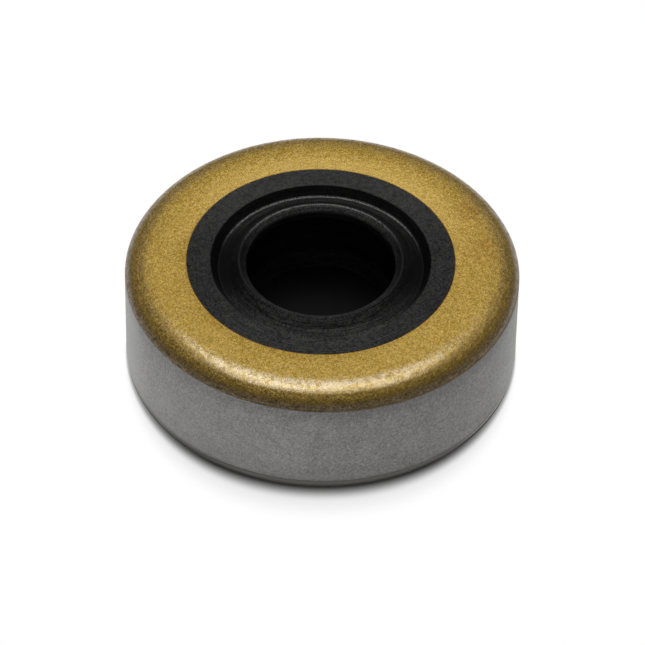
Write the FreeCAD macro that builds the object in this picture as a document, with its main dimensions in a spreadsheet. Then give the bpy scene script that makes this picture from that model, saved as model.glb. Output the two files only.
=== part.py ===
import FreeCAD, Part
import math
import os
import Sketcher
from FreeCAD import Vector

# A metal-cased radial shaft seal, resting on its back rim with the air side up.
# The origin is on the axis in the plane of the back rim, and +Z points to the air side.

DRIVING_SIZES = [
    ("shaft_diameter", 10.0, "shaft that the seal runs on"),
    ("housing_bore", 26.0, "housing bore that the case is pressed into"),
    ("seal_width", 8.0, "height from the back rim to the face"),
    ("press_allowance", 0.14, "case diameter over the housing bore"),
    ("sheet_gauge", 0.9, "thickness of the drawn steel sheet"),
    ("bend_radius", 1.35, "outside radius of the bend between flange and wall"),
    ("shoulder_radius", 10.7, "radius where the face starts to fall towards the bend"),
    ("shoulder_fall", 0.305, "fall of the face from there to the blank's edge"),
    ("grinding_depth", 0.12, "stock ground off the wall, on the radius"),
    ("rim_band_height", 0.65, "height of the unground band that draws in at the rim"),
    ("rim_band_inset", 0.06, "how far that band draws in, on the radius"),
    ("step_run", 0.45, "radial length of the step in the flange under the rubber"),
    ("flange_edge_radius", 7.6, "inner edge of the flange, buried in the rubber"),
    ("skin_thickness", 0.5, "rubber over and under the flange"),
    ("skin_overlap", 0.75, "rubber under the flange, from the ring's edge outwards"),
    ("ring_outer_radius", 8.9, "outer edge of the flat rubber ring"),
    ("ring_inner_radius", 7.33, "inner edge of the flat rubber ring"),
    ("ledge_outer_radius", 6.86, "foot of the recess wall"),
    ("ledge_inner_radius", 6.76, "inner edge of the narrow ledge at that foot"),
    ("ledge_depth", 0.62, "depth of the ledge below the face"),
    ("ramp_radius", 6.15, "radius where the ramp up to the dust lip steepens"),
    ("ramp_depth", 0.4, "depth of that line below the face"),
    ("bead_outer_radius", 5.5, "outer edge of the dust lip's top"),
    ("bead_inner_radius", 5.34, "inner edge of the dust lip's top"),
    ("dust_lip_bite", 0.05, "dust lip's bite on the shaft radius"),
    ("dust_lip_depth", 0.32, "depth of the dust lip's edge below the face"),
    ("cavity_radius", 5.8, "radius of the grease space between the two lips"),
    ("cavity_top", 6.2, "height where the grease space opens out under the dust lip"),
    ("cavity_foot", 5.0, "height where the main lip's air-side cone starts"),
    ("main_lip_bite", 0.4, "main lip's bite on the shaft radius, before fitting"),
    ("lip_edge_height", 2.9, "height of the main lip's edge above the rim"),
    ("lip_land", 0.2, "length of the main lip's edge"),
    ("lip_head_foot", 1.6, "height of the lip head's foot above the rim"),
    ("membrane_gauge", 0.8, "thickness of the flexible wall that carries the lip head"),
    ("membrane_blend", 0.5, "slope where the flexible wall meets the underside"),
    ("spring_ring_radius", 6.2, "radius of the garter spring's centre line"),
    ("spring_height", 3.3, "height of the garter spring above the rim"),
    ("winding_diameter", 1.3, "outside diameter of the spring's winding"),
    ("winding_turns", 54, "turns in the closed ring"),
    ("turn_depth", 0.3, "drop from a turn's crest to the edge of its pad"),
    ("spring_clearance", 0.02, "room round the spring in its channel"),
]

# Places worked out from the driving sizes
WALL_RADIUS = "( ( housing_bore + press_allowance ) / 2 )"
BLANK_RADIUS = f"( {WALL_RADIUS} + grinding_depth )"
WALL_INSIDE = f"( {BLANK_RADIUS} - sheet_gauge )"
INNER_BEND = "( bend_radius - sheet_gauge )"
BEND_INSIDE = f"( {WALL_INSIDE} - {INNER_BEND} )"
SHOULDER_FOOT = "( seal_width - shoulder_fall )"
SHOULDER_SLOPE = f"( shoulder_fall / ( {BLANK_RADIUS} - shoulder_radius ) )"
STEP_END = "( ring_outer_radius - step_run )"
STEP_SHIFT = "( sheet_gauge * tan( atan( skin_thickness / step_run ) / 2 ) )"
STEP_TOP = "( seal_width - skin_thickness )"
FLANGE_UNDERSIDE = "( seal_width - sheet_gauge )"
STEP_UNDERSIDE = f"( {STEP_TOP} - sheet_gauge )"
RUBBER_UNDERSIDE = f"( {STEP_UNDERSIDE} - skin_thickness )"
SHAFT_RADIUS = "( shaft_diameter / 2 )"
DUST_LIP_RADIUS = f"( {SHAFT_RADIUS} - dust_lip_bite )"
MAIN_LIP_RADIUS = f"( {SHAFT_RADIUS} - main_lip_bite )"
LIP_NOSE_RADIUS = f"( {MAIN_LIP_RADIUS} + lip_edge_height - lip_head_foot )"
MEMBRANE_OUTSIDE = "( cavity_radius + membrane_gauge )"
TURN_PITCH = "( 2 * pi * spring_ring_radius / winding_turns )"

# Each turn of the spring reaches this many pitches to either side, so that neighbours merge
TURN_SPREAD = 0.8
TURN_REACH = f"( {TURN_SPREAD} * {TURN_PITCH} )"


def make_sheet(doc):
    """Keep every driving size in one spreadsheet, each under its own alias."""
    sheet = doc.addObject("Spreadsheet::Sheet", "sizes")
    for row, (alias, value, meaning) in enumerate(DRIVING_SIZES, start=1):
        sheet.set(f"A{row}", meaning)
        sheet.set(f"B{row}", str(value))
        sheet.setAlias(f"B{row}", alias)
    doc.recompute()


def formula(text):
    """Point a formula written in aliases at the spreadsheet's cells."""
    aliases = {alias for alias, _, _ in DRIVING_SIZES}
    words = text.replace("(", "( ").split()
    return " ".join(f"sizes.{word}" if word in aliases else word for word in words)


def number(doc, text):
    """The present value of a formula."""
    return float(doc.sizes.evalExpression(formula(text)))


def origin_feature(body, role):
    return next(item for item in body.Origin.OriginFeatures if item.Role == role)


def make_profile(doc, body, name, corners):
    """A closed outline in the XZ plane, with each corner's radius and height bound to the sheet."""
    sketch = body.newObject("Sketcher::SketchObject", name)
    sketch.AttachmentSupport = [(origin_feature(body, "XZ_Plane"), "")]
    sketch.MapMode = "FlatFace"
    places = [Vector(number(doc, radius), number(doc, height), 0) for radius, height in corners]
    for start, end in zip(places, places[1:] + places[:1]):
        sketch.addGeometry(Part.LineSegment(start, end), False)
    for line, (radius, height) in enumerate(corners):
        following = (line + 1) % len(corners)
        sketch.addConstraint(Sketcher.Constraint("Coincident", line, 2, following, 1))
        across = Sketcher.Constraint("DistanceX", -1, 1, line, 1, places[line].x)
        sketch.setExpression(f"Constraints[{sketch.addConstraint(across)}]", formula(radius))
        if height == "0":
            sketch.addConstraint(Sketcher.Constraint("PointOnObject", line, 1, -1))
        else:
            upward = Sketcher.Constraint("DistanceY", -1, 1, line, 1, places[line].y)
            sketch.setExpression(f"Constraints[{sketch.addConstraint(upward)}]", formula(height))
    return sketch


def turn_profile(body, kind, name, sketch):
    """Turn an outline once about the seal's axis, as added or removed material."""
    feature = body.newObject(kind, name)
    feature.Profile = sketch
    feature.ReferenceAxis = (sketch, ["V_Axis"])
    feature.Angle = 360


def round_corner(doc, sketch, radius, height, size):
    """Round the corner of an outline that stands at one radius and height, keeping its own sizes."""
    corner = Vector(number(doc, radius), number(doc, height), 0)
    line = next(i for i, side in enumerate(sketch.Geometry) if side.StartPoint.isEqual(corner, 1e-6))
    sketch.fillet(line, 1, number(doc, size), True, True)
    arc = next(i for i, side in enumerate(sketch.Geometry) if isinstance(side, Part.ArcOfCircle))
    rounding = Sketcher.Constraint("Radius", arc, number(doc, size))
    sketch.setExpression(f"Constraints[{sketch.addConstraint(rounding)}]", formula(size))


def make_outer_case(doc):
    """One steel stamping: wall, bend and flange, with a step in the flange for the rubber."""
    body = doc.addObject("PartDesign::Body", "outer_case")
    section = make_profile(doc, body, "case_section", [
        (f"{WALL_RADIUS} - rim_band_inset", "0"),
        (WALL_RADIUS, "rim_band_height"),
        (BLANK_RADIUS, "rim_band_height"),
        (BLANK_RADIUS, SHOULDER_FOOT),
        ("shoulder_radius", "seal_width"),
        ("ring_outer_radius", "seal_width"),
        (STEP_END, STEP_TOP),
        ("flange_edge_radius", STEP_TOP),
        ("flange_edge_radius", STEP_UNDERSIDE),
        (f"{STEP_END} + {STEP_SHIFT}", STEP_UNDERSIDE),
        (f"ring_outer_radius + {STEP_SHIFT}", FLANGE_UNDERSIDE),
        ("shoulder_radius", FLANGE_UNDERSIDE),
        (BEND_INSIDE, f"{FLANGE_UNDERSIDE} - {SHOULDER_SLOPE} * ( {BEND_INSIDE} - shoulder_radius )"),
        (WALL_INSIDE, f"{FLANGE_UNDERSIDE} - shoulder_fall - {INNER_BEND}"),
        (WALL_INSIDE, "0"),
    ])
    round_corner(doc, section, BLANK_RADIUS, SHOULDER_FOOT, "bend_radius")
    turn_profile(body, "PartDesign::Revolution", "drawn_cup", section)
    stock = make_profile(doc, body, "ground_stock", [
        (WALL_RADIUS, "rim_band_height"),
        (f"{BLANK_RADIUS} + grinding_depth", "rim_band_height"),
        (f"{BLANK_RADIUS} + grinding_depth", "seal_width"),
        (WALL_RADIUS, "seal_width"),
    ])
    turn_profile(body, "PartDesign::Groove", "ground_wall", stock)
    doc.recompute()
    return body


def octagon_corners(reach):
    """Corners of half an octagon about the spring's centre line, from its top inwards to its side."""
    side = f"( {reach} * tan( 22.5 ) )"
    return [(side, reach), (f"-1 * {side}", reach), (f"-1 * {reach}", side)]


def spring_channel():
    """The channel behind the main lip, from its lower mouth round the winding to its upper mouth."""
    reach = "( winding_diameter / 2 + spring_clearance )"
    quarter = octagon_corners(reach)
    side = quarter[0][0]
    mouth = f"( {reach} + {side} + spring_ring_radius - {MEMBRANE_OUTSIDE} )"
    inward = [(f"{MEMBRANE_OUTSIDE} - spring_ring_radius", mouth)] + quarter
    lower = [(f"spring_ring_radius + {out}", f"spring_height - {rise}") for out, rise in inward]
    upper = [(f"spring_ring_radius + {out}", f"spring_height + {rise}") for out, rise in inward]
    return lower + upper[::-1]


def make_rubber_form(doc):
    """The rubber's outer form with both lips, still running through the flange."""
    body = doc.addObject("PartDesign::Body", "rubber_form")
    section = make_profile(doc, body, "rubber_section", [
        ("ring_outer_radius", "seal_width"),
        ("ring_inner_radius", "seal_width"),
        ("ledge_outer_radius", "seal_width - ledge_depth"),
        ("ledge_inner_radius", "seal_width - ledge_depth"),
        ("ramp_radius", "seal_width - ramp_depth"),
        ("bead_outer_radius", "seal_width"),
        ("bead_inner_radius", "seal_width"),
        (DUST_LIP_RADIUS, "seal_width - dust_lip_depth"),
        ("cavity_radius", "cavity_top"),
        ("cavity_radius", "cavity_foot"),
        (MAIN_LIP_RADIUS, "lip_edge_height + lip_land"),
        (MAIN_LIP_RADIUS, "lip_edge_height"),
        (LIP_NOSE_RADIUS, "lip_head_foot"),
        (MEMBRANE_OUTSIDE, "lip_head_foot"),
        *spring_channel(),
        (MEMBRANE_OUTSIDE, f"{RUBBER_UNDERSIDE} - membrane_blend"),
        (f"{MEMBRANE_OUTSIDE} + membrane_blend", RUBBER_UNDERSIDE),
        ("ring_outer_radius", RUBBER_UNDERSIDE),
        ("ring_outer_radius + skin_overlap", FLANGE_UNDERSIDE),
        (f"ring_outer_radius + {STEP_SHIFT}", FLANGE_UNDERSIDE),
    ])
    turn_profile(body, "PartDesign::Revolution", "moulding", section)
    doc.recompute()
    return body


def make_sealing_element(doc, case):
    """The rubber moulded round the flange: its form with the case taken out of it."""
    element = doc.addObject("Part::Cut", "sealing_element")
    element.Base = make_rubber_form(doc)
    element.Tool = case
    doc.recompute()
    return element


def make_garter_spring(doc):
    """A closed ring of turns: one ridge of the winding, repeated about the seal's axis."""
    body = doc.addObject("PartDesign::Body", "garter_spring")
    left_top = octagon_corners("( winding_diameter / 2 )")
    left = left_top + [(out, f"-1 * {rise}") for out, rise in reversed(left_top)]
    right = [("( winding_diameter / 2 )", left[3][1]), ("( winding_diameter / 2 )", left[2][1])]
    section = make_profile(doc, body, "turn_section", [
        (f"spring_ring_radius + {out}", f"spring_height + {rise}") for out, rise in left + right
    ])
    turn = body.newObject("PartDesign::Pad", "one_turn")
    turn.Profile = section
    turn.SideType = "Two sides"
    for length, taper in (("Length", "TaperAngle"), ("Length2", "TaperAngle2")):
        turn.setExpression(length, formula(TURN_REACH))
        turn.setExpression(taper, formula(f"-1 * atan( turn_depth / {TURN_REACH} )"))
    doc.recompute()
    ring = body.newObject("PartDesign::PolarPattern", "ring_of_turns")
    ring.Originals = [turn]
    ring.Axis = (origin_feature(body, "Z_Axis"), [""])
    ring.Angle = 360
    ring.setExpression("Occurrences", formula("winding_turns"))
    body.Tip = ring
    doc.recompute()
    return body


def check_model(doc, subparts):
    for item in doc.Objects:
        if "Invalid" in item.State or "Error" in item.State:
            raise RuntimeError(f"{item.Label} did not compute: {item.State}")
    for item in subparts:
        if item.Shape.isNull() or not item.Shape.isValid():
            raise RuntimeError(f"{item.Label} has no valid shape")


def main():
    doc = FreeCAD.newDocument("oil_seal")
    make_sheet(doc)
    case = make_outer_case(doc)
    subparts = [case, make_sealing_element(doc, case), make_garter_spring(doc)]
    check_model(doc, subparts)
    os.makedirs("parts", exist_ok=True)
    for item in subparts:
        item.Shape.exportStep(os.path.join("parts", item.Label + ".step"))
        print(item.Label, "solids", len(item.Shape.Solids), "volume", round(item.Shape.Volume, 3))


main()
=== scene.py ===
import math
from collections import namedtuple

import bpy
from mathutils import Matrix, Vector


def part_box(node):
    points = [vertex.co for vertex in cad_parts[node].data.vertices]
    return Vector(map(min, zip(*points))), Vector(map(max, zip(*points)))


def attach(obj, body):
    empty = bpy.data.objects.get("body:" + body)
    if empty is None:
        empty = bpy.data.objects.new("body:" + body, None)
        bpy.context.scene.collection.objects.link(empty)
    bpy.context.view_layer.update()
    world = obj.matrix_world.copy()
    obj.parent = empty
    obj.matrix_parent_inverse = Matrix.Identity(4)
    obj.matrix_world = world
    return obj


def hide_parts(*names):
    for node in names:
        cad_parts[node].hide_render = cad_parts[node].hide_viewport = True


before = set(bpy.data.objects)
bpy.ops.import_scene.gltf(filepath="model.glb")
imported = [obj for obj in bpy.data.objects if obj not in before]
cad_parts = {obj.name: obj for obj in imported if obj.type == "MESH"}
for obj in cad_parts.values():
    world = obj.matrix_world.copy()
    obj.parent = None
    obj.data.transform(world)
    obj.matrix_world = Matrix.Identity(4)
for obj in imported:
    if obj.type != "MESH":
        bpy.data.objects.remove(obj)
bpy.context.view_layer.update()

# Sizes in metres. Those of the solids are read from the frame, and the rest are named here.
MM = 0.001
TURN = 2 * math.pi
DEGREE = TURN / 360
FRONT = -TURN / 4
SEGMENTS = 384
FINE = 0.03 * MM

WALL_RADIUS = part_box("outer_case")[1][0]
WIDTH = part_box("outer_case")[1][2]
SKIN_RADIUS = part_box("sealing_element")[1][0]
LIP_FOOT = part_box("sealing_element")[0][2]
SPRING_LOW, SPRING_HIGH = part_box("garter_spring")
WINDING_RADIUS = (SPRING_HIGH[2] - SPRING_LOW[2]) / 2
SPRING_HEIGHT = (SPRING_HIGH[2] + SPRING_LOW[2]) / 2
SPRING_RADIUS = SPRING_HIGH[0] - WINDING_RADIUS

# Stamped case
SHEET = 0.9 * MM
BEND_RADIUS = 1.35 * MM
INNER_BEND_RADIUS = 0.6 * MM
CROWN_RADIUS = 6.0 * MM
CROWN_TILT = 14 * DEGREE
GRINDING_DEPTH = 0.12 * MM
RIM_BAND_HEIGHT = 0.65 * MM
RIM_BAND_INSET = 0.06 * MM
STEP_RUN = 0.45 * MM
FLANGE_EDGE = 7.6 * MM

# Moulded rubber
SKIN = 0.5 * MM
RING_OUTER = 8.9 * MM
RING_INNER = 7.33 * MM
LEDGE_OUTER = 6.86 * MM
LEDGE_INNER = 6.76 * MM
FOOT_RADIUS = (LEDGE_OUTER + LEDGE_INNER) / 2
LEDGE_DEPTH = 0.62 * MM
RAMP_RADIUS = 6.15 * MM
RAMP_DEPTH = 0.4 * MM
CREST_OUTER = 5.5 * MM
CREST_INNER = 5.34 * MM
CREST = (CREST_OUTER + CREST_INNER) / 2
TRIMMED_RADIUS = 5.12 * MM
DUST_LIP_RADIUS = 4.95 * MM
DUST_LIP_DEPTH = 0.32 * MM
DUST_LIP_LAND = 0.45 * MM
CAVITY_RADIUS = 5.8 * MM
CAVITY_TOP = 6.2 * MM
CAVITY_FOOT = 5.0 * MM
MAIN_LIP_RADIUS = 4.6 * MM
LIP_EDGE_HEIGHT = 2.9 * MM
LIP_LAND = 0.2 * MM
MEMBRANE_GAUGE = 0.8 * MM
MEMBRANE_BLEND = 0.5 * MM
SPRING_CLEARANCE = 0.02 * MM
WIRE_RADIUS = 0.11 * MM

# The moulding sits a little off the case's centre. All inside the first radius has this offset, and
# nothing outside the second.
MOULD_SHIFT = (-0.10 * MM, 0.13 * MM)
SHIFT_FULL = 9.3 * MM
SHIFT_NONE = 10.6 * MM

FLANGE_UNDERSIDE = WIDTH - SHEET
STEP_UNDERSIDE = WIDTH - SKIN - SHEET
STEP_SHIFT = SHEET * math.tan(math.atan(SKIN / STEP_RUN) / 2)
BLANK_RADIUS = WALL_RADIUS + GRINDING_DEPTH
CROWN_FALL = CROWN_RADIUS * (1 - math.cos(CROWN_TILT))
CENTRES_APART = (CROWN_RADIUS - BEND_RADIUS) * math.sin(CROWN_TILT)
BEND_CENTRE = (BLANK_RADIUS - BEND_RADIUS, WIDTH - CROWN_FALL - BEND_RADIUS * math.cos(CROWN_TILT))
CROWN_CENTRE = (BEND_CENTRE[0] - CENTRES_APART, WIDTH - CROWN_RADIUS)
BEND_START = math.acos((WALL_RADIUS - BEND_CENTRE[0]) / BEND_RADIUS)
GROUND_TOP = BEND_CENTRE[1] + BEND_RADIUS * math.sin(BEND_START)


# Turned shapes

def direction(start, end):
    """Unit vector from one profile point to another."""
    length = math.dist(start, end)
    return ((end[0] - start[0]) / length, (end[1] - start[1]) / length)


def arc(centre, radius, start, end, pieces):
    """Points and outward normals of a round stretch between two angles above the radius."""
    stretch = []
    for k in range(pieces + 1):
        angle = start + (end - start) * k / pieces
        out = (math.cos(angle), math.sin(angle))
        stretch.append(((centre[0] + radius * out[0], centre[1] + radius * out[1]), out))
    return stretch


def rounded_corner(before, corner, after, step=9 * DEGREE):
    """Points and outward normals of one corner, (radius, height, rounding), between two points."""
    into = direction(before, corner[:2])
    away = direction(corner[:2], after)
    turn = math.atan2(into[0] * away[1] - into[1] * away[0], into[0] * away[0] + into[1] * away[1])
    rounding = corner[2]
    setback = rounding * abs(math.tan(turn / 2))
    side = math.copysign(rounding, turn)
    centre = (
        corner[0] - into[0] * setback - side * into[1],
        corner[1] - into[1] * setback + side * into[0],
    )
    pieces = max(1, math.ceil(abs(turn) / step))
    stretch = []
    for k in range(pieces + 1):
        angle = turn * k / pieces
        out = (
            into[1] * math.cos(angle) + into[0] * math.sin(angle),
            into[1] * math.sin(angle) - into[0] * math.cos(angle),
        )
        stretch.append(((centre[0] + side * out[0], centre[1] + side * out[1]), out))
    return stretch


def closed_outline(items):
    """Points and outward normals of a closed outline of corners and arcs, its inside on the left."""
    outline = []
    for i, item in enumerate(items):
        if isinstance(item, list):
            outline += item
            continue
        before = items[i - 1]
        after = items[(i + 1) % len(items)]
        start = before[-1][0] if isinstance(before, list) else before[:2]
        end = after[0][0] if isinstance(after, list) else after[:2]
        outline += rounded_corner(start, item, end)
    return outline


def mould_shift(radius):
    """Share of the moulding's offset that a point at this radius has."""
    share = min(1, max(0, (SHIFT_NONE - radius) / (SHIFT_NONE - SHIFT_FULL)))
    return share * share * (3 - 2 * share)


def ring_mesh(name, points, normals, rows, count):
    """A closed tube of count rows round the axis, each of rows points, shaded by the given normals."""
    faces = []
    for s in range(count):
        here = s * rows
        following = (s + 1) % count * rows
        for r in range(rows):
            above = (r + 1) % rows
            faces.append((here + r, following + r, following + above, here + above))
    mesh = bpy.data.meshes.new(name)
    mesh.from_pydata(points, [], faces)
    mesh.shade_smooth()
    mesh.normals_split_custom_set_from_vertices(normals)
    piece = bpy.data.objects.new(name, mesh)
    bpy.context.scene.collection.objects.link(piece)
    return piece


def lathe(name, outline):
    """The outline turned once about Z."""
    points = []
    normals = []
    for s in range(SEGMENTS):
        cosine = math.cos(TURN * s / SEGMENTS)
        sine = math.sin(TURN * s / SEGMENTS)
        for (radius, height), (out, up) in outline:
            share = mould_shift(radius)
            x = radius * cosine + MOULD_SHIFT[0] * share
            y = radius * sine + MOULD_SHIFT[1] * share
            points.append((x, y, height))
            normals.append((out * cosine, out * sine, up))
    return ring_mesh(name, points, normals, len(outline), SEGMENTS)


def case_outline():
    """Section of the stamped case: up its outer wall, round the bend and back down the inside."""
    inside = BLANK_RADIUS - SHEET
    crown_edge = math.pi / 2 - CROWN_TILT
    edge_step = 0.5 * DEGREE
    return closed_outline([
        (WALL_RADIUS - RIM_BAND_INSET, 0, 2 * FINE),
        (WALL_RADIUS, RIM_BAND_HEIGHT, FINE),
        (WALL_RADIUS, GROUND_TOP, FINE / 3),
        arc(BEND_CENTRE, BEND_RADIUS, BEND_START + edge_step, crown_edge, pieces=18),
        arc(CROWN_CENTRE, CROWN_RADIUS, crown_edge + edge_step, math.pi / 2, pieces=9),
        (RING_OUTER, WIDTH, FINE),
        (RING_OUTER - STEP_RUN, WIDTH - SKIN, FINE),
        (FLANGE_EDGE, WIDTH - SKIN, FINE),
        (FLANGE_EDGE, STEP_UNDERSIDE, FINE),
        (RING_OUTER - STEP_RUN + STEP_SHIFT, STEP_UNDERSIDE, FINE),
        (RING_OUTER + STEP_SHIFT, FLANGE_UNDERSIDE, FINE),
        (CROWN_CENTRE[0], FLANGE_UNDERSIDE, FINE),
        (inside, FLANGE_UNDERSIDE - CROWN_FALL, INNER_BEND_RADIUS),
        (inside, 0, 2 * FINE),
    ])


def rubber_outline():
    """Section of the moulding: from the main lip down round the head, up its back and over the face."""
    back = CAVITY_RADIUS + MEMBRANE_GAUGE
    underside = STEP_UNDERSIDE - SKIN
    seat = WINDING_RADIUS + SPRING_CLEARANCE
    opening = math.acos((back - SPRING_RADIUS) / seat)
    edge_step = 6 * DEGREE
    seat_start = opening + edge_step
    seat_arc = arc((SPRING_RADIUS, SPRING_HEIGHT), seat, -seat_start, seat_start - TURN, pieces=22)
    spring_seat = [(point, (-out[0], -out[1])) for point, out in seat_arc]
    return closed_outline([
        (MAIN_LIP_RADIUS, LIP_EDGE_HEIGHT + LIP_LAND, FINE),
        (MAIN_LIP_RADIUS, LIP_EDGE_HEIGHT, FINE),
        (MAIN_LIP_RADIUS + LIP_EDGE_HEIGHT - LIP_FOOT, LIP_FOOT, 4 * FINE),
        (back, LIP_FOOT, 8 * FINE),
        (back, SPRING_HEIGHT - seat * math.sin(opening), FINE),
        spring_seat,
        (back, SPRING_HEIGHT + seat * math.sin(opening), FINE),
        (back, underside, MEMBRANE_BLEND),
        (RING_OUTER, underside, 6 * FINE),
        (SKIN_RADIUS, FLANGE_UNDERSIDE, FINE),
        (RING_OUTER + STEP_SHIFT, FLANGE_UNDERSIDE, FINE),
        (RING_OUTER - STEP_RUN + STEP_SHIFT, STEP_UNDERSIDE, FINE),
        (FLANGE_EDGE, STEP_UNDERSIDE, FINE),
        (FLANGE_EDGE, WIDTH - SKIN, FINE),
        (RING_OUTER - STEP_RUN, WIDTH - SKIN, FINE),
        (RING_OUTER, WIDTH, FINE / 2),
        (RING_INNER, WIDTH, 2 * FINE),
        (FOOT_RADIUS, WIDTH - LEDGE_DEPTH, 4 * FINE),
        (RAMP_RADIUS, WIDTH - RAMP_DEPTH, 10 * FINE),
        (CREST_OUTER, WIDTH, FINE),
        (CREST_INNER, WIDTH, FINE),
        (DUST_LIP_RADIUS, WIDTH - DUST_LIP_DEPTH, 3 * FINE),
        (DUST_LIP_RADIUS, WIDTH - DUST_LIP_DEPTH - DUST_LIP_LAND, 4 * FINE),
        (CAVITY_RADIUS, CAVITY_TOP, 4 * FINE),
        (CAVITY_RADIUS, CAVITY_FOOT, 4 * FINE),
    ])


def wound_spring(name):
    """Close-wound wire on a closed ring: one helix round the ring's centre line."""
    coil_radius = WINDING_RADIUS - WIRE_RADIUS
    turns = round(TURN * (SPRING_RADIUS - coil_radius) / (2 * WIRE_RADIUS))
    steps_per_turn = 14
    sides = 7
    steps = turns * steps_per_turn

    def wire_centre(step):
        about = TURN * step / steps
        winding = TURN * step / steps_per_turn
        radius = SPRING_RADIUS + coil_radius * math.cos(winding)
        height = SPRING_HEIGHT + coil_radius * math.sin(winding)
        x = radius * math.cos(about) + MOULD_SHIFT[0]
        y = radius * math.sin(about) + MOULD_SHIFT[1]
        return Vector((x, y, height))

    points = []
    normals = []
    for step in range(steps):
        about = TURN * step / steps
        winding = TURN * step / steps_per_turn
        flat = math.cos(winding)
        outward = Vector((math.cos(about) * flat, math.sin(about) * flat, math.sin(winding)))
        along = (wire_centre(step + 1) - wire_centre(step - 1)).normalized()
        across = outward.cross(along).normalized()
        for side in range(sides):
            angle = TURN * side / sides
            normal = outward * math.cos(angle) + across * math.sin(angle)
            points.append(wire_centre(step) + normal * WIRE_RADIUS)
            normals.append(normal)
    return ring_mesh(name, points, normals, sides, steps)


# Materials

Place = namedtuple("Place", "position radius height azimuth")


class Graph:
    """A node tree, with one call for each step of its sums."""

    def __init__(self, owner):
        owner.use_nodes = True
        self.nodes = owner.node_tree.nodes
        self.links = owner.node_tree.links
        self.nodes.clear()

    def add(self, kind, inputs=None, **settings):
        node = self.nodes.new(kind)
        for key, value in settings.items():
            setattr(node, key, value)
        for key, value in (inputs or {}).items():
            self.feed(node.inputs[key], value)
        return node

    def feed(self, socket, value):
        if isinstance(value, bpy.types.NodeSocket):
            self.links.new(value, socket)
        elif isinstance(value, tuple) and len(value) < len(socket.default_value):
            socket.default_value = (*value, 1)
        else:
            socket.default_value = value

    def sum(self, operation, first, second=0.0):
        return self.add("ShaderNodeMath", {0: first, 1: second}, operation=operation).outputs[0]

    def times(self, first, *others):
        for other in others:
            first = self.sum("MULTIPLY", first, other)
        return first

    def plus(self, first, *others):
        for other in others:
            first = self.sum("ADD", first, other)
        return first

    def minus(self, first, second):
        return self.sum("SUBTRACT", first, second)

    def ramp(self, value, low, high, to_low=0.0, to_high=1.0):
        """A smooth step of value between low and high."""
        ends = {"From Min": low, "From Max": high, "To Min": to_low, "To Max": to_high}
        node = self.add("ShaderNodeMapRange", ends, interpolation_type="SMOOTHSTEP")
        self.feed(node.inputs["Value"], value)
        return node.outputs["Result"]

    def line(self, value, middle, reach, core, weight=1.0):
        """A soft line where value is at its middle: full within core of it, and gone at reach."""
        off = self.sum("ABSOLUTE", self.minus(value, middle))
        return self.ramp(off, reach, core, 0.0, weight)

    def mix(self, factor, first, second):
        node = self.add("ShaderNodeMix", data_type="RGBA")
        self.feed(node.inputs[0], factor)
        self.feed(node.inputs[6], first)
        self.feed(node.inputs[7], second)
        return node.outputs[2]

    def noise(self, vector, size, detail=2.0, roughness=0.5):
        """Fractal noise, about 0 to 1, whose features are size metres across."""
        inputs = {"Vector": vector, "Scale": 1 / size, "Detail": detail, "Roughness": roughness}
        return self.add("ShaderNodeTexNoise", inputs).outputs[0]

    def grain(self, vector, size):
        """A level of its own for each small cell, about size metres across."""
        return self.add("ShaderNodeTexVoronoi", {"Vector": vector, "Scale": 1 / size}).outputs["Color"]

    def hoops(self, at, squeeze, size, roughness):
        """Noise drawn out round the axis, where lengths are squeezed to this share."""
        length = self.times(at.azimuth, WALL_RADIUS)
        strip = self.add("ShaderNodeCombineXYZ", {0: length, 1: at.radius, 2: at.height}).outputs[0]
        strip = self.add("ShaderNodeMapping", {"Vector": strip, "Scale": (squeeze, 1, 1)}).outputs[0]
        return self.noise(strip, size, 2, roughness)

    def bump(self, height, distance):
        return self.add("ShaderNodeBump", {"Height": height, "Distance": distance}).outputs[0]

    def place(self, centre=(0, 0)):
        """Position from the axis, or from one a little off it, with its radius, height and azimuth."""
        position = self.add("ShaderNodeTexCoord").outputs["Object"]
        to_axis = (-centre[0], -centre[1], 0)
        position = self.add("ShaderNodeMapping", {"Vector": position, "Location": to_axis}).outputs[0]
        across, along, height = self.add("ShaderNodeSeparateXYZ", {0: position}).outputs
        radius = self.sum("SQRT", self.plus(self.times(across, across), self.times(along, along)))
        azimuth = self.sum("ARCTAN2", along, across)
        return Place(position, radius, height, azimuth)

    def aside(self, at, middle=FRONT):
        """Angle round the axis from the front, or from another middle."""
        return self.sum("ABSOLUTE", self.minus(at.azimuth, middle))

    def near(self, at, centre, reach):
        """One at a place on the part, falling to nothing this far from it."""
        node = self.add("ShaderNodeVectorMath", {0: at.position, 1: centre}, operation="DISTANCE")
        return self.ramp(node.outputs["Value"], reach, 0.2 * reach)

    def surface(self, shader, kind="ShaderNodeOutputMaterial"):
        output = self.add(kind)
        self.links.new(shader.outputs[0], output.inputs["Surface"])


# Linear colours
GOLD = (0.52, 0.36, 0.086)
GOLD_DARK = (0.245, 0.145, 0.001)
GOLD_STAIN_AND_SHADE = (0.24, 0.11, 0.008)
GOLD_HIGHLIGHT = (0.80, 0.56, 0.12)
BROWN = (0.14, 0.082, 0.028)
BEND_SHADE_DARK = (0.115, 0.073, 0.013)
BEND_SHADE_LIGHT = (0.39, 0.257, 0.057)
OLIVE_SHADE = (0.08, 0.060, 0.036)
OLIVE_SHADE_LIGHT = (0.35, 0.268, 0.160)
STEEL = (0.12, 0.1185, 0.1145)
STEEL_LIGHT = (0.31, 0.307, 0.299)
BAND = (0.42, 0.40, 0.366)
BAND_SHADED_TOP = (0.225, 0.216, 0.20)
BAND_HIGHLIGHT = (0.85, 0.845, 0.83)
BAND_SHADE = (0.05, 0.049, 0.047)
RUBBER = (0.0025, 0.0025, 0.0024)
RUBBER_DUST_AND_SHEEN = (0.060, 0.060, 0.0588)
RUBBER_HIGHLIGHT = (0.20, 0.20, 0.197)
WIRE = (0.32, 0.32, 0.33)
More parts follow.
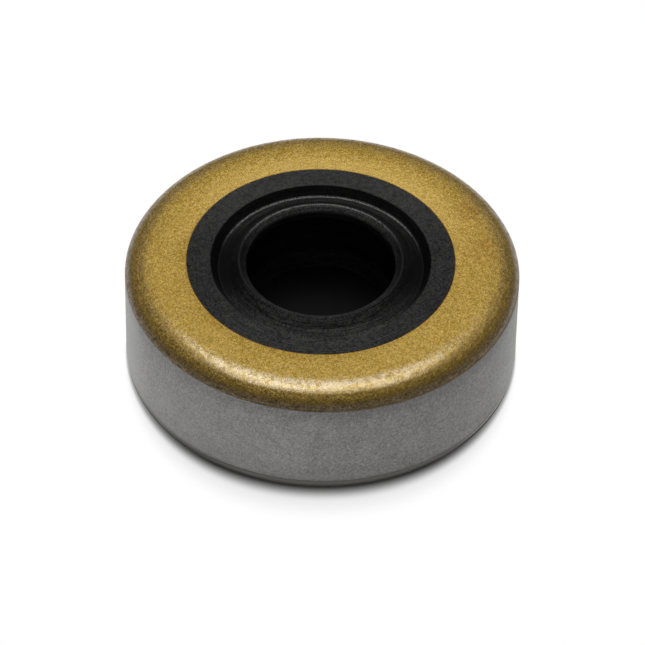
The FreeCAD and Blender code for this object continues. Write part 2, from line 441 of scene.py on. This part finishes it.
WIRE_LIGHT = (0.5, 0.5, 0.5)

# Size of the grain, softness of painted edges, and heights of the reliefs
GRAIN = 0.08 * MM
SOFT = 0.02 * MM
COAT_RELIEF = 0.025 * MM
RUBBER_RELIEF = 0.02 * MM
WIRE_RELIEF = 0.004 * MM

# The coat's colour and its painted light and shade change between these radii on the face, and between
# these depths below it down the bend
BY_THE_RUBBER = (10.0 * MM, RING_OUTER)
ACROSS_THE_FACE = (RING_OUTER, 11.6 * MM)
BEND_ONSET = (0.01 * MM, 0.07 * MM)
HIGHLIGHT_DEPTHS = (0.04 * MM, 0.09 * MM)
BEND_SHADE_DEPTHS = (0.08 * MM, 0.22 * MM)
LIGHTER = (0.25 * MM, 0.42 * MM)
HOOPED = (0.4 * MM, 0.7 * MM)
OLIVE_SHADE_DEPTHS = (0.42 * MM, 0.72 * MM)
SMOOTH_TO = (0.35 * MM, 0.25 * MM)
SIDES_SOONER = 0.06 * MM

# The coat ends unevenly, this far below the ground wall's top on average, and lower on the right
COAT_EDGE_BELOW = 0.07 * MM
COAT_EDGE_WAVER = 0.14 * MM
COAT_EDGE_LEAN = 0.14 * MM

# Where the front is rubbed, and the directions of a painted highlight line and of duller gloss on the
# right front
RUBBED_ANGLE = 30 * DEGREE
RUBBED_HEIGHT = 0.35 * MM
HIGHLIGHT_MIDDLE = -24 * DEGREE
DULL_MIDDLE = -57 * DEGREE

# The ground wall's painted shade and painted light change between these heights
UP_THE_WALL = (6.5 * MM, 1.0 * MM)
BELOW_THE_COAT = (5.6 * MM, 6.8 * MM)
BY_THE_BAND = (1.5 * MM, 0.75 * MM)

# The painted rim band shows narrower by these on the two sides, and the painted lines by its top are
# this far from it
NARROWER_RIGHT = 0.31 * MM
NARROWER_LEFT = 0.46 * MM
HIGHLIGHT_ABOVE = 0.05 * MM
SHADE_LINE_BELOW = 0.04 * MM

# Stains on the face, by place and reach, and painted highlight lines on the rubber, by radius, reach
# and weight
STAINS = [((10.8 * MM, 1.3 * MM, WIDTH), 1.9 * MM), ((9.8 * MM, 5.2 * MM, WIDTH), 1.6 * MM)]
EDGE_HIGHLIGHTS = [
    (FOOT_RADIUS, 0.1 * MM, 1.6),
    (CREST, 0.1 * MM, 0.8),
    (CREST_INNER - 0.05 * MM, 0.14 * MM, 0.45),
    (TRIMMED_RADIUS, 0.1 * MM, 0.25),
]


def face_coat(g, at, depth, grain):
    """Coat colour on the face: grain, clouds and flecks, painted light and shade beside the rubber, and
    a painted highlight at the front where the bend starts.
    """
    blotch = g.noise(at.position, 0.25 * MM, 3, 0.7)
    cloud = g.noise(at.position, 1.3 * MM, 3, 0.6)
    light = g.plus(g.ramp(grain, 0.15, 0.85, 0.0, 0.65), g.ramp(blotch, 0.3, 0.7, 0.0, 0.33))
    light = g.minus(light, g.ramp(cloud, 0.35, 0.65, -0.03, 0.07))

    # Painted light and shade beside the rubber: brighter on the far side and darker elsewhere except on
    # the right, and on the far side darker out towards the bend
    away = g.ramp(g.sum("SINE", at.azimuth), 0.0, 1.0)
    light = g.plus(light, g.times(away, g.ramp(at.radius, *ACROSS_THE_FACE, 0.6, -0.2)))
    dim = g.ramp(g.sum("COSINE", at.azimuth), 0.6, 0.0, 0.0, 0.2)
    light = g.minus(light, g.times(dim, g.ramp(at.radius, *BY_THE_RUBBER)))
    gold = g.mix(light, GOLD_DARK, GOLD)

    # A painted highlight on the front, just where the bend starts
    near_front = g.ramp(g.aside(at), 65 * DEGREE, 20 * DEGREE)
    gold = g.mix(g.times(g.ramp(depth, *HIGHLIGHT_DEPTHS, 0.0, 0.3), near_front), gold, GOLD_HIGHLIGHT)
    fleck = g.grain(at.position, 0.1 * MM)
    return g.mix(g.ramp(fleck, 0.2, 0.12, 0.0, 0.35), gold, GOLD_STAIN_AND_SHADE)


def stains_and_edge_shade(g, at, gold):
    """The coat with its brown stains, and with a painted shade line where it meets the rubber."""
    stain = 0.0
    for centre, reach in STAINS:
        stain = g.plus(stain, g.near(at, centre, reach))
    spots = g.ramp(g.noise(at.position, 0.4 * MM, 4, 0.7), 0.42, 0.58, 0.0, 0.6)
    gold = g.mix(g.times(stain, spots), gold, GOLD_STAIN_AND_SHADE)
    # A thin line of painted shade round the coat's edge by the rubber
    from_rubber = g.minus(g.place(MOULD_SHIFT).radius, RING_OUTER)
    return g.mix(g.ramp(from_rubber, 0.08 * MM, 0.02 * MM, 0.0, 0.7), gold, GOLD_STAIN_AND_SHADE)


def bend_coat(g, at, depth, grain, hoops, gold):
    """The coat with painted shade down the bend, sooner on the sides, to a painted olive shade at its
    edge, with brown marks.
    """
    # Painted shade down the bend, mottled, starting sooner on the sides and a little lighter further
    # down
    level = g.plus(depth, g.ramp(g.aside(at), 20 * DEGREE, 65 * DEGREE, 0.0, SIDES_SOONER))
    mottle = g.ramp(g.noise(at.position, 0.22 * MM, 4, 0.75), 0.35, 0.65, 0.0, 0.4)
    mottle = g.plus(mottle, g.ramp(grain, 0.2, 0.8, 0.0, 0.6))
    mottle = g.plus(mottle, g.ramp(level, *LIGHTER, -0.06, 0.14))
    mottle = g.plus(mottle, g.times(g.ramp(hoops, 0.35, 0.65, -0.2, 0.2), g.ramp(level, *HOOPED)))

    # The mottling is softer on the right
    contrast = g.ramp(g.sum("COSINE", at.azimuth), 0.0, 0.5, 1.0, 0.7)
    mottle = g.plus(0.5, g.times(g.minus(mottle, 0.5), contrast))

    gold = g.mix(g.ramp(level, *BEND_SHADE_DEPTHS), gold, g.mix(mottle, BEND_SHADE_DARK, BEND_SHADE_LIGHT))
    # Painted olive shade, mottled, lower down the bend
    low = g.ramp(level, *OLIVE_SHADE_DEPTHS)
    gold = g.mix(g.times(low, 0.85), gold, g.mix(mottle, OLIVE_SHADE, OLIVE_SHADE_LIGHT))
    marks = g.ramp(g.noise(at.position, 0.3 * MM, 4, 0.75), 0.5, 0.62, 0.0, 0.5)
    gold = g.mix(g.times(low, marks), gold, BROWN)
    # Painted olive shade along the coat's lower edge
    edge = g.ramp(at.height, GROUND_TOP + 0.08 * MM, GROUND_TOP - 0.02 * MM, 0.0, 0.65)
    return g.mix(edge, gold, OLIVE_SHADE)


def ground_steel(g, at, grain):
    """Wall colour: finely mottled, with painted shade under the coat and towards the top, and painted
    reflections lighter on the left, on the sides and by the band.
    """
    mottle = g.ramp(g.noise(at.position, 0.2 * MM, 4, 0.8), 0.3, 0.7, -0.08, 0.4)
    mottle = g.plus(mottle, g.times(grain, 0.6))
    cloud = g.ramp(g.noise(at.position, 1.5 * MM, 3, 0.6), 0.3, 0.7, -0.06, 0.06)
    # Painted reflections: lighter on the left, and on the sides, more on the left
    right = g.sum("COSINE", at.azimuth)
    left = g.ramp(right, 0.7, -0.9, -0.05, 0.25)
    aside = g.aside(at)
    # Painted shade towards the top and under the coat, and a painted reflection by the band on the
    # front
    level = g.ramp(at.height, *UP_THE_WALL, -0.12, 0.0)
    level = g.minus(level, g.ramp(at.height, *BELOW_THE_COAT, 0.0, 0.22))
    rim = g.times(g.ramp(at.height, *BY_THE_BAND, 0.0, 0.26), g.ramp(aside, 65 * DEGREE, 45 * DEGREE))
    flank = g.times(g.ramp(aside, 58 * DEGREE, 78 * DEGREE), g.minus(0.3, g.times(right, 0.15)))
    return g.mix(g.plus(mottle, cloud, left, level, rim, flank), STEEL, STEEL_LIGHT)


def ground_area(g, at):
    """Where the wall is ground bare: one below the coat's uneven edge."""
    waver = g.times(g.minus(g.noise(at.position, 0.4 * MM, 4, 0.65), 0.5), COAT_EDGE_WAVER)
    lean = g.times(g.sum("COSINE", at.azimuth), COAT_EDGE_LEAN)
    edge = g.plus(at.height, waver, lean, COAT_EDGE_BELOW)
    return g.ramp(edge, GROUND_TOP + SOFT, GROUND_TOP - SOFT)


def rubbed_area(g, at, hoops):
    """Where the coat's lower edge is rubbed through, on the front."""
    worn = g.times(g.ramp(hoops, 0.5, 0.62), g.ramp(g.aside(at), RUBBED_ANGLE, 0.2 * RUBBED_ANGLE))
    return g.times(worn, g.ramp(at.height, GROUND_TOP + RUBBED_HEIGHT, GROUND_TOP, 0.0, 0.7))


def rim_band(g, at, outside, colour):
    """The case's colour with the unground band painted on the front of its rim, darker at its top with
    painted shade, and painted light and shade lines along its top.
    """
    right = g.sum("COSINE", at.azimuth)
    aside = g.aside(at)
    narrower_right = g.ramp(right, 0.4, 0.75, 0.0, NARROWER_RIGHT)
    narrower_left = g.ramp(right, -0.4, -0.75, 0.0, NARROWER_LEFT)
    above = g.minus(at.height, g.minus(RIM_BAND_HEIGHT, g.plus(narrower_right, narrower_left)))
    band = g.times(g.ramp(above, 0.01 * MM, -0.01 * MM), outside)
    band = g.times(band, g.ramp(aside, 75 * DEGREE, 35 * DEGREE))
    # Painted shade on the band's top at the front
    top = g.times(g.ramp(above, -0.28 * MM, -0.02 * MM), g.ramp(aside, 42 * DEGREE, 22 * DEGREE))
    colour = g.mix(band, colour, g.mix(top, BAND, BAND_SHADED_TOP))

    # A painted highlight line on the right front, a painted shade line on the left, and painted shade
    # on the right
    lip = g.times(g.line(above, HIGHLIGHT_ABOVE, 0.05 * MM, SOFT), outside)
    lip = g.times(lip, g.line(at.azimuth, HIGHLIGHT_MIDDLE, 27 * DEGREE, 12 * DEGREE))
    colour = g.mix(lip, colour, BAND_HIGHLIGHT)
    # A painted shade line on the left of the band's top
    shade_line = g.times(g.line(above, -SHADE_LINE_BELOW, 0.07 * MM, SOFT, 0.4), outside)
    colour = g.mix(g.times(shade_line, g.ramp(right, -0.2, -0.5)), colour, BAND_SHADE)
    # Painted shade over the band on the right
    shaded = g.times(g.ramp(above, 0.0, -SOFT), g.ramp(right, 0.6, 0.85, 0.0, 0.5), outside)
    return g.mix(shaded, colour, BAND_SHADE)


def case_relief(g, at, depth, wall):
    """Height of the fine relief and shallow dents, smoother on the bend and on the ground wall."""
    fine = g.noise(at.position, 0.1 * MM, 2, 0.6)
    dents = g.noise(at.position, 0.45 * MM, 4, 0.7)
    smoother = g.times(g.ramp(depth, *BEND_ONSET), g.ramp(depth, *SMOOTH_TO))
    fine = g.times(fine, g.minus(1.0, g.times(smoother, 0.5)))
    return g.times(g.plus(fine, g.times(dents, 4.0)), g.minus(1.0, g.times(wall, 0.7)))


def coat_gloss(g, at, depth):
    """Weight of the coat's clear gloss: unevenly worn, stronger on the bend, none on the wall."""
    worn = g.ramp(g.noise(at.position, 0.35 * MM, 4, 0.7), 0.35, 0.6, 0.2, 0.92)
    strength = g.ramp(g.aside(at, DULL_MIDDLE), 34 * DEGREE, 12 * DEGREE, 1.0, 0.72)
    bend = g.ramp(depth, *BEND_ONSET, 0.7, strength)
    return g.times(worn, bend, g.ramp(at.height, GROUND_TOP, GROUND_TOP + 0.15 * MM))


def case_material():
    """Gold bonding coat on drawn steel, with the wall ground bare."""
    material = bpy.data.materials.new("coated_and_ground_steel")
    g = Graph(material)
    at = g.place()
    depth = g.minus(WIDTH, at.height)
    grain = g.grain(at.position, GRAIN)
    hoops = g.hoops(at, squeeze=0.1, size=0.1 * MM, roughness=0.5)
    outside = g.ramp(at.radius, WALL_RADIUS - 0.5 * MM, WALL_RADIUS - 0.3 * MM)
    wall = g.times(ground_area(g, at), outside)

    gold = bend_coat(g, at, depth, grain, hoops, stains_and_edge_shade(g, at, face_coat(g, at, depth, grain)))
    colour = g.mix(g.sum("MAXIMUM", wall, rubbed_area(g, at, hoops)), gold, ground_steel(g, at, grain))
    shader = g.add("ShaderNodeBsdfPrincipled", {
        "Base Color": rim_band(g, at, outside, colour),
        "Metallic": 1.0,
        "Roughness": g.plus(g.times(wall, -0.14), 0.58),
        "Normal": g.bump(case_relief(g, at, depth, wall), COAT_RELIEF),
        "Coat Weight": coat_gloss(g, at, depth),
        "Coat Roughness": 0.18,
    })
    g.surface(shader)
    return material


def cone_dust_and_sheen(g, at, away, lines):
    """Dust and painted sheen on the cones: strongest on the near side, by the dust lip, on the ramp's
    rise and in the far trough.
    """
    # Painted sheen, as lighter dust, mostly on the near side
    front = g.ramp(g.aside(at), 80 * DEGREE, 20 * DEGREE, 0.0, 1.35)
    inner = g.ramp(at.radius, CREST_INNER, DUST_LIP_RADIUS + 0.1 * MM, 0.0, 0.3)
    rise = g.ramp(at.radius, RAMP_RADIUS + 0.2 * MM, RAMP_RADIUS - 0.2 * MM, 0.0, 0.15)
    trough = g.ramp(at.radius, RAMP_RADIUS - 0.1 * MM, RAMP_RADIUS + 0.1 * MM)
    trough = g.times(trough, g.ramp(at.radius, FOOT_RADIUS + 0.15 * MM, FOOT_RADIUS, 0.35, 1.0))
    cones = g.plus(front, inner, rise, g.times(trough, g.times(away, 0.5)))
    low = g.ramp(at.radius, RAMP_RADIUS + 0.2 * MM, FOOT_RADIUS, 0.0, 0.4)
    cones = g.plus(cones, g.times(front, low))
    cones = g.times(cones, g.plus(0.45, g.times(lines, 0.9)))
    off_crest = g.sum("ABSOLUTE", g.minus(at.radius, CREST))
    return g.times(cones, g.ramp(off_crest, 0.05 * MM, 0.15 * MM, 0.45, 1.0))


def far_edge_highlights(g, at, grain):
    """Painted highlights: thin pale lines on the far edges of the rubber, where its fins catch the
    light.
    """
    edges = 0.0
    for radius, reach, weight in EDGE_HIGHLIGHTS:
        edges = g.plus(edges, g.line(at.radius, radius, reach, SOFT, weight))
    edges = g.times(edges, g.ramp(at.height, WIDTH - 1.2 * LEDGE_DEPTH, WIDTH - LEDGE_DEPTH))
    edges = g.times(edges, g.ramp(g.sum("SINE", at.azimuth), 0.2, 0.9))
    return g.times(edges, g.ramp(grain, 0.2, 0.6, 0.2, 1.0))


def rubber_material():
    """Black moulded rubber: a matt ring with dust and painted sheen, and smooth darker cones with fine
    trimming lines and painted highlight lines on their far edges.
    """
    material = bpy.data.materials.new("moulded_rubber")
    g = Graph(material)
    at = g.place(MOULD_SHIFT)
    grain = g.grain(at.position, GRAIN)
    blotch = g.ramp(g.noise(at.position, 0.3 * MM, 4, 0.75), 0.3, 0.7)
    patch = g.noise(at.position, 1.5 * MM, 3, 0.6)
    lines = g.ramp(g.hoops(at, squeeze=0.015, size=0.08 * MM, roughness=0.6), 0.4, 0.65)
    away = g.ramp(g.sum("SINE", at.azimuth), 0.0, 0.8)
    ring = g.ramp(at.radius, RING_INNER - 0.1 * MM, RING_INNER)
    flat = g.times(ring, g.ramp(at.height, WIDTH - 0.1 * MM, WIDTH))

    # Dust and painted sheen are speckled on the near side, and more even and brighter on the far side
    dust = g.sum("MAXIMUM", flat, cone_dust_and_sheen(g, at, away, lines))
    speck = g.times(g.ramp(grain, 0.15, 0.85), g.minus(0.65, g.times(away, 0.4)))
    speck = g.plus(speck, g.times(away, 0.2))
    dust = g.times(dust, g.plus(speck, g.times(blotch, 0.4)))
    dust = g.times(dust, g.plus(g.ramp(patch, 0.3, 0.7, 0.72, 1.0), g.times(away, 0.5)))

    colour = g.mix(dust, RUBBER, RUBBER_DUST_AND_SHEEN)
    relief = g.plus(g.times(blotch, g.plus(flat, 0.15)), g.times(lines, 0.08))
    shader = g.add("ShaderNodeBsdfPrincipled", {
        # The base colour carries the painted highlight lines on the far edges
        "Base Color": g.mix(far_edge_highlights(g, at, grain), colour, RUBBER_HIGHLIGHT),
        "Roughness": g.ramp(at.radius, RAMP_RADIUS, FOOT_RADIUS, 0.38, 0.52),
        "Specular IOR Level": 0.05,
        "Normal": g.bump(relief, RUBBER_RELIEF),
    })
    g.surface(shader)
    return material


def spring_material():
    """Bright drawn spring wire, slightly dulled by oil."""
    material = bpy.data.materials.new("drawn_spring_wire")
    g = Graph(material)
    grain = g.noise(g.place().position, 0.06 * MM, 2, 0.6)
    shader = g.add("ShaderNodeBsdfPrincipled", {
        "Base Color": g.mix(grain, WIRE, WIRE_LIGHT),
        "Metallic": 1.0,
        "Roughness": g.ramp(grain, 0.3, 0.8, 0.22, 0.36),
        "Normal": g.bump(grain, WIRE_RELIEF),
    })
    g.surface(shader)
    return material


def dress(piece, node, material):
    """Give a piece its material and let it stand for a node of the frame."""
    piece.data.materials.append(material)
    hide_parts(node)
    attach(piece, "root")


dress(lathe("case_shell", case_outline()), "outer_case", case_material())
dress(lathe("rubber_seal", rubber_outline()), "sealing_element", rubber_material())
dress(wound_spring("wound_spring"), "garter_spring", spring_material())


# Floor, light and camera

def open_floor(g, at):
    """How white the floor shows: more with the distance, and sooner at the sides and behind, which
    paints how the seal's shadow fades.
    """
    aside = g.aside(at)
    spread = g.ramp(aside, 90 * DEGREE, 10 * DEGREE, 0.05 * MM, 1.0 * MM)
    gap = g.sum("DIVIDE", g.minus(at.radius, WALL_RADIUS), spread)
    white = g.plus(g.ramp(gap, 0.0, 1.25, 0.0, 0.72), g.ramp(gap, 0.0, 3.2, 0.0, 0.28))
    clear = g.ramp(aside, 30 * DEGREE, 95 * DEGREE, 0.0, 0.5)
    clear = g.times(clear, g.ramp(at.radius, WALL_RADIUS - 0.2 * MM, WALL_RADIUS))
    return g.plus(g.times(white, g.minus(1.0, clear)), clear)


def floor_material():
    """White where seen far off; near the seal a grey that takes its shadow, with painted shade under
    the seal and a painted shadow at its rim.
    """
    material = bpy.data.materials.new("pale_floor")
    g = Graph(material)
    at = g.place()
    path = g.add("ShaderNodeLightPath").outputs
    seen = g.sum("MAXIMUM", path["Is Camera Ray"], path["Is Glossy Ray"])
    seen = g.sum("MAXIMUM", seen, path["Is Transmission Ray"])
    # Painted shade: darker under the seal, and a painted contact shadow at its rim
    contact = g.ramp(at.radius, WALL_RADIUS - 0.05 * MM, WALL_RADIUS + 0.2 * MM, 0.0, 0.42)
    shade = g.plus(g.ramp(at.radius, 0.6 * WALL_RADIUS, WALL_RADIUS, 0.15, 0.43), contact)
    lit = g.add("ShaderNodeBsdfDiffuse", {"Color": g.mix(shade, (0, 0, 0), (1, 1, 1))}).outputs[0]
    white = g.add("ShaderNodeEmission", {"Color": (1, 1, 1), "Strength": 1.0}).outputs[0]
    g.surface(g.add("ShaderNodeMixShader", {0: g.times(seen, open_floor(g, at)), 1: lit, 2: white}))
    return material


def make_floor():
    """A flat square, wide enough to fill the view, just under the seal's rim."""
    reach = 3.0
    drop = 0.01 * MM
    mesh = bpy.data.meshes.new("floor")
    corners = [(-reach, -reach, 0), (reach, -reach, 0), (reach, reach, 0), (-reach, reach, 0)]
    mesh.from_pydata(corners, [], [(0, 1, 2, 3)])
    mesh.materials.append(floor_material())
    floor = bpy.data.objects.new("floor", mesh)
    floor.location.z = -drop
    bpy.context.scene.collection.objects.link(floor)


def make_world():
    """A plain studio: brighter behind the seal than in front of it, and white at the horizon."""
    world = bpy.data.worlds.new("studio")
    bpy.context.scene.world = world
    g = Graph(world)
    heading = g.add("ShaderNodeTexCoord").outputs["Generated"]
    across, along, up = g.add("ShaderNodeSeparateXYZ", {0: heading}).outputs
    behind = g.times(g.ramp(along, -0.3, 0.65), g.ramp(up, 0.25, 0.6))
    behind = g.times(behind, g.ramp(g.sum("ABSOLUTE", across), 0.5, 0.1))
    level = g.plus(g.times(behind, 0.5), 0.14)
    backdrop = g.times(g.ramp(up, 0.25, 0.1), g.ramp(along, 0.8, 0.95))
    horizon = g.sum("MAXIMUM", g.ramp(up, 0.05, 0.01), backdrop)
    level = g.plus(level, g.times(horizon, g.minus(1.0, level)))
    background = g.add("ShaderNodeBackground", {"Color": (1, 1, 1), "Strength": level})
    g.surface(background, "ShaderNodeOutputWorld")


def area_light(name, heading, distance, width, depth, watts):
    """A soft box that faces the seal from a heading."""
    data = bpy.data.lights.new(name, "AREA")
    data.shape = "RECTANGLE"
    data.size = width
    data.size_y = depth
    data.energy = watts
    lamp = bpy.data.objects.new(name, data)
    outward = Vector(heading).normalized()
    lamp.location = outward * distance
    lamp.rotation_euler = outward.to_track_quat("Z", "Y").to_euler()
    bpy.context.scene.collection.objects.link(lamp)


def make_camera():
    """The photograph's view: a long lens from the front, 44 degrees above the table."""
    elevation = 44.01 * DEGREE
    roll = 0.97 * DEGREE
    distance = 25 * WALL_RADIUS
    pixels_per_radius = 195.93
    image_width = 645
    seal_right_of_middle = -1.21
    seal_below_middle = -17.61
    sensor = 36.0

    back = Vector((0, -math.cos(elevation), math.sin(elevation)))
    right = Vector((1, 0, 0))
    up = back.cross(right)
    metres_per_pixel = WALL_RADIUS / pixels_per_radius
    centre = Vector((0, 0, WIDTH / 2))
    position = centre + back * distance
    aim = centre - right * seal_right_of_middle * metres_per_pixel
    aim += up * seal_below_middle * metres_per_pixel
    data = bpy.data.cameras.new("camera")
    data.sensor_width = sensor
    data.lens = pixels_per_radius * distance / WALL_RADIUS / image_width * sensor
    data.clip_start = 0.01
    data.clip_end = 20
    camera = bpy.data.objects.new("camera", data)
    view = (aim - position).to_track_quat("-Z", "Y").to_matrix().to_4x4()
    camera.matrix_world = Matrix.Translation(position) @ view @ Matrix.Rotation(roll, 4, "Z")
    bpy.context.scene.collection.objects.link(camera)
    bpy.context.scene.camera = camera


make_floor()
make_world()
area_light("top_box", heading=(0.0, 0.445, 0.896), distance=0.4, width=0.18, depth=0.12, watts=0.80)
make_camera()
bpy.context.scene.view_settings.view_transform = "Standard"
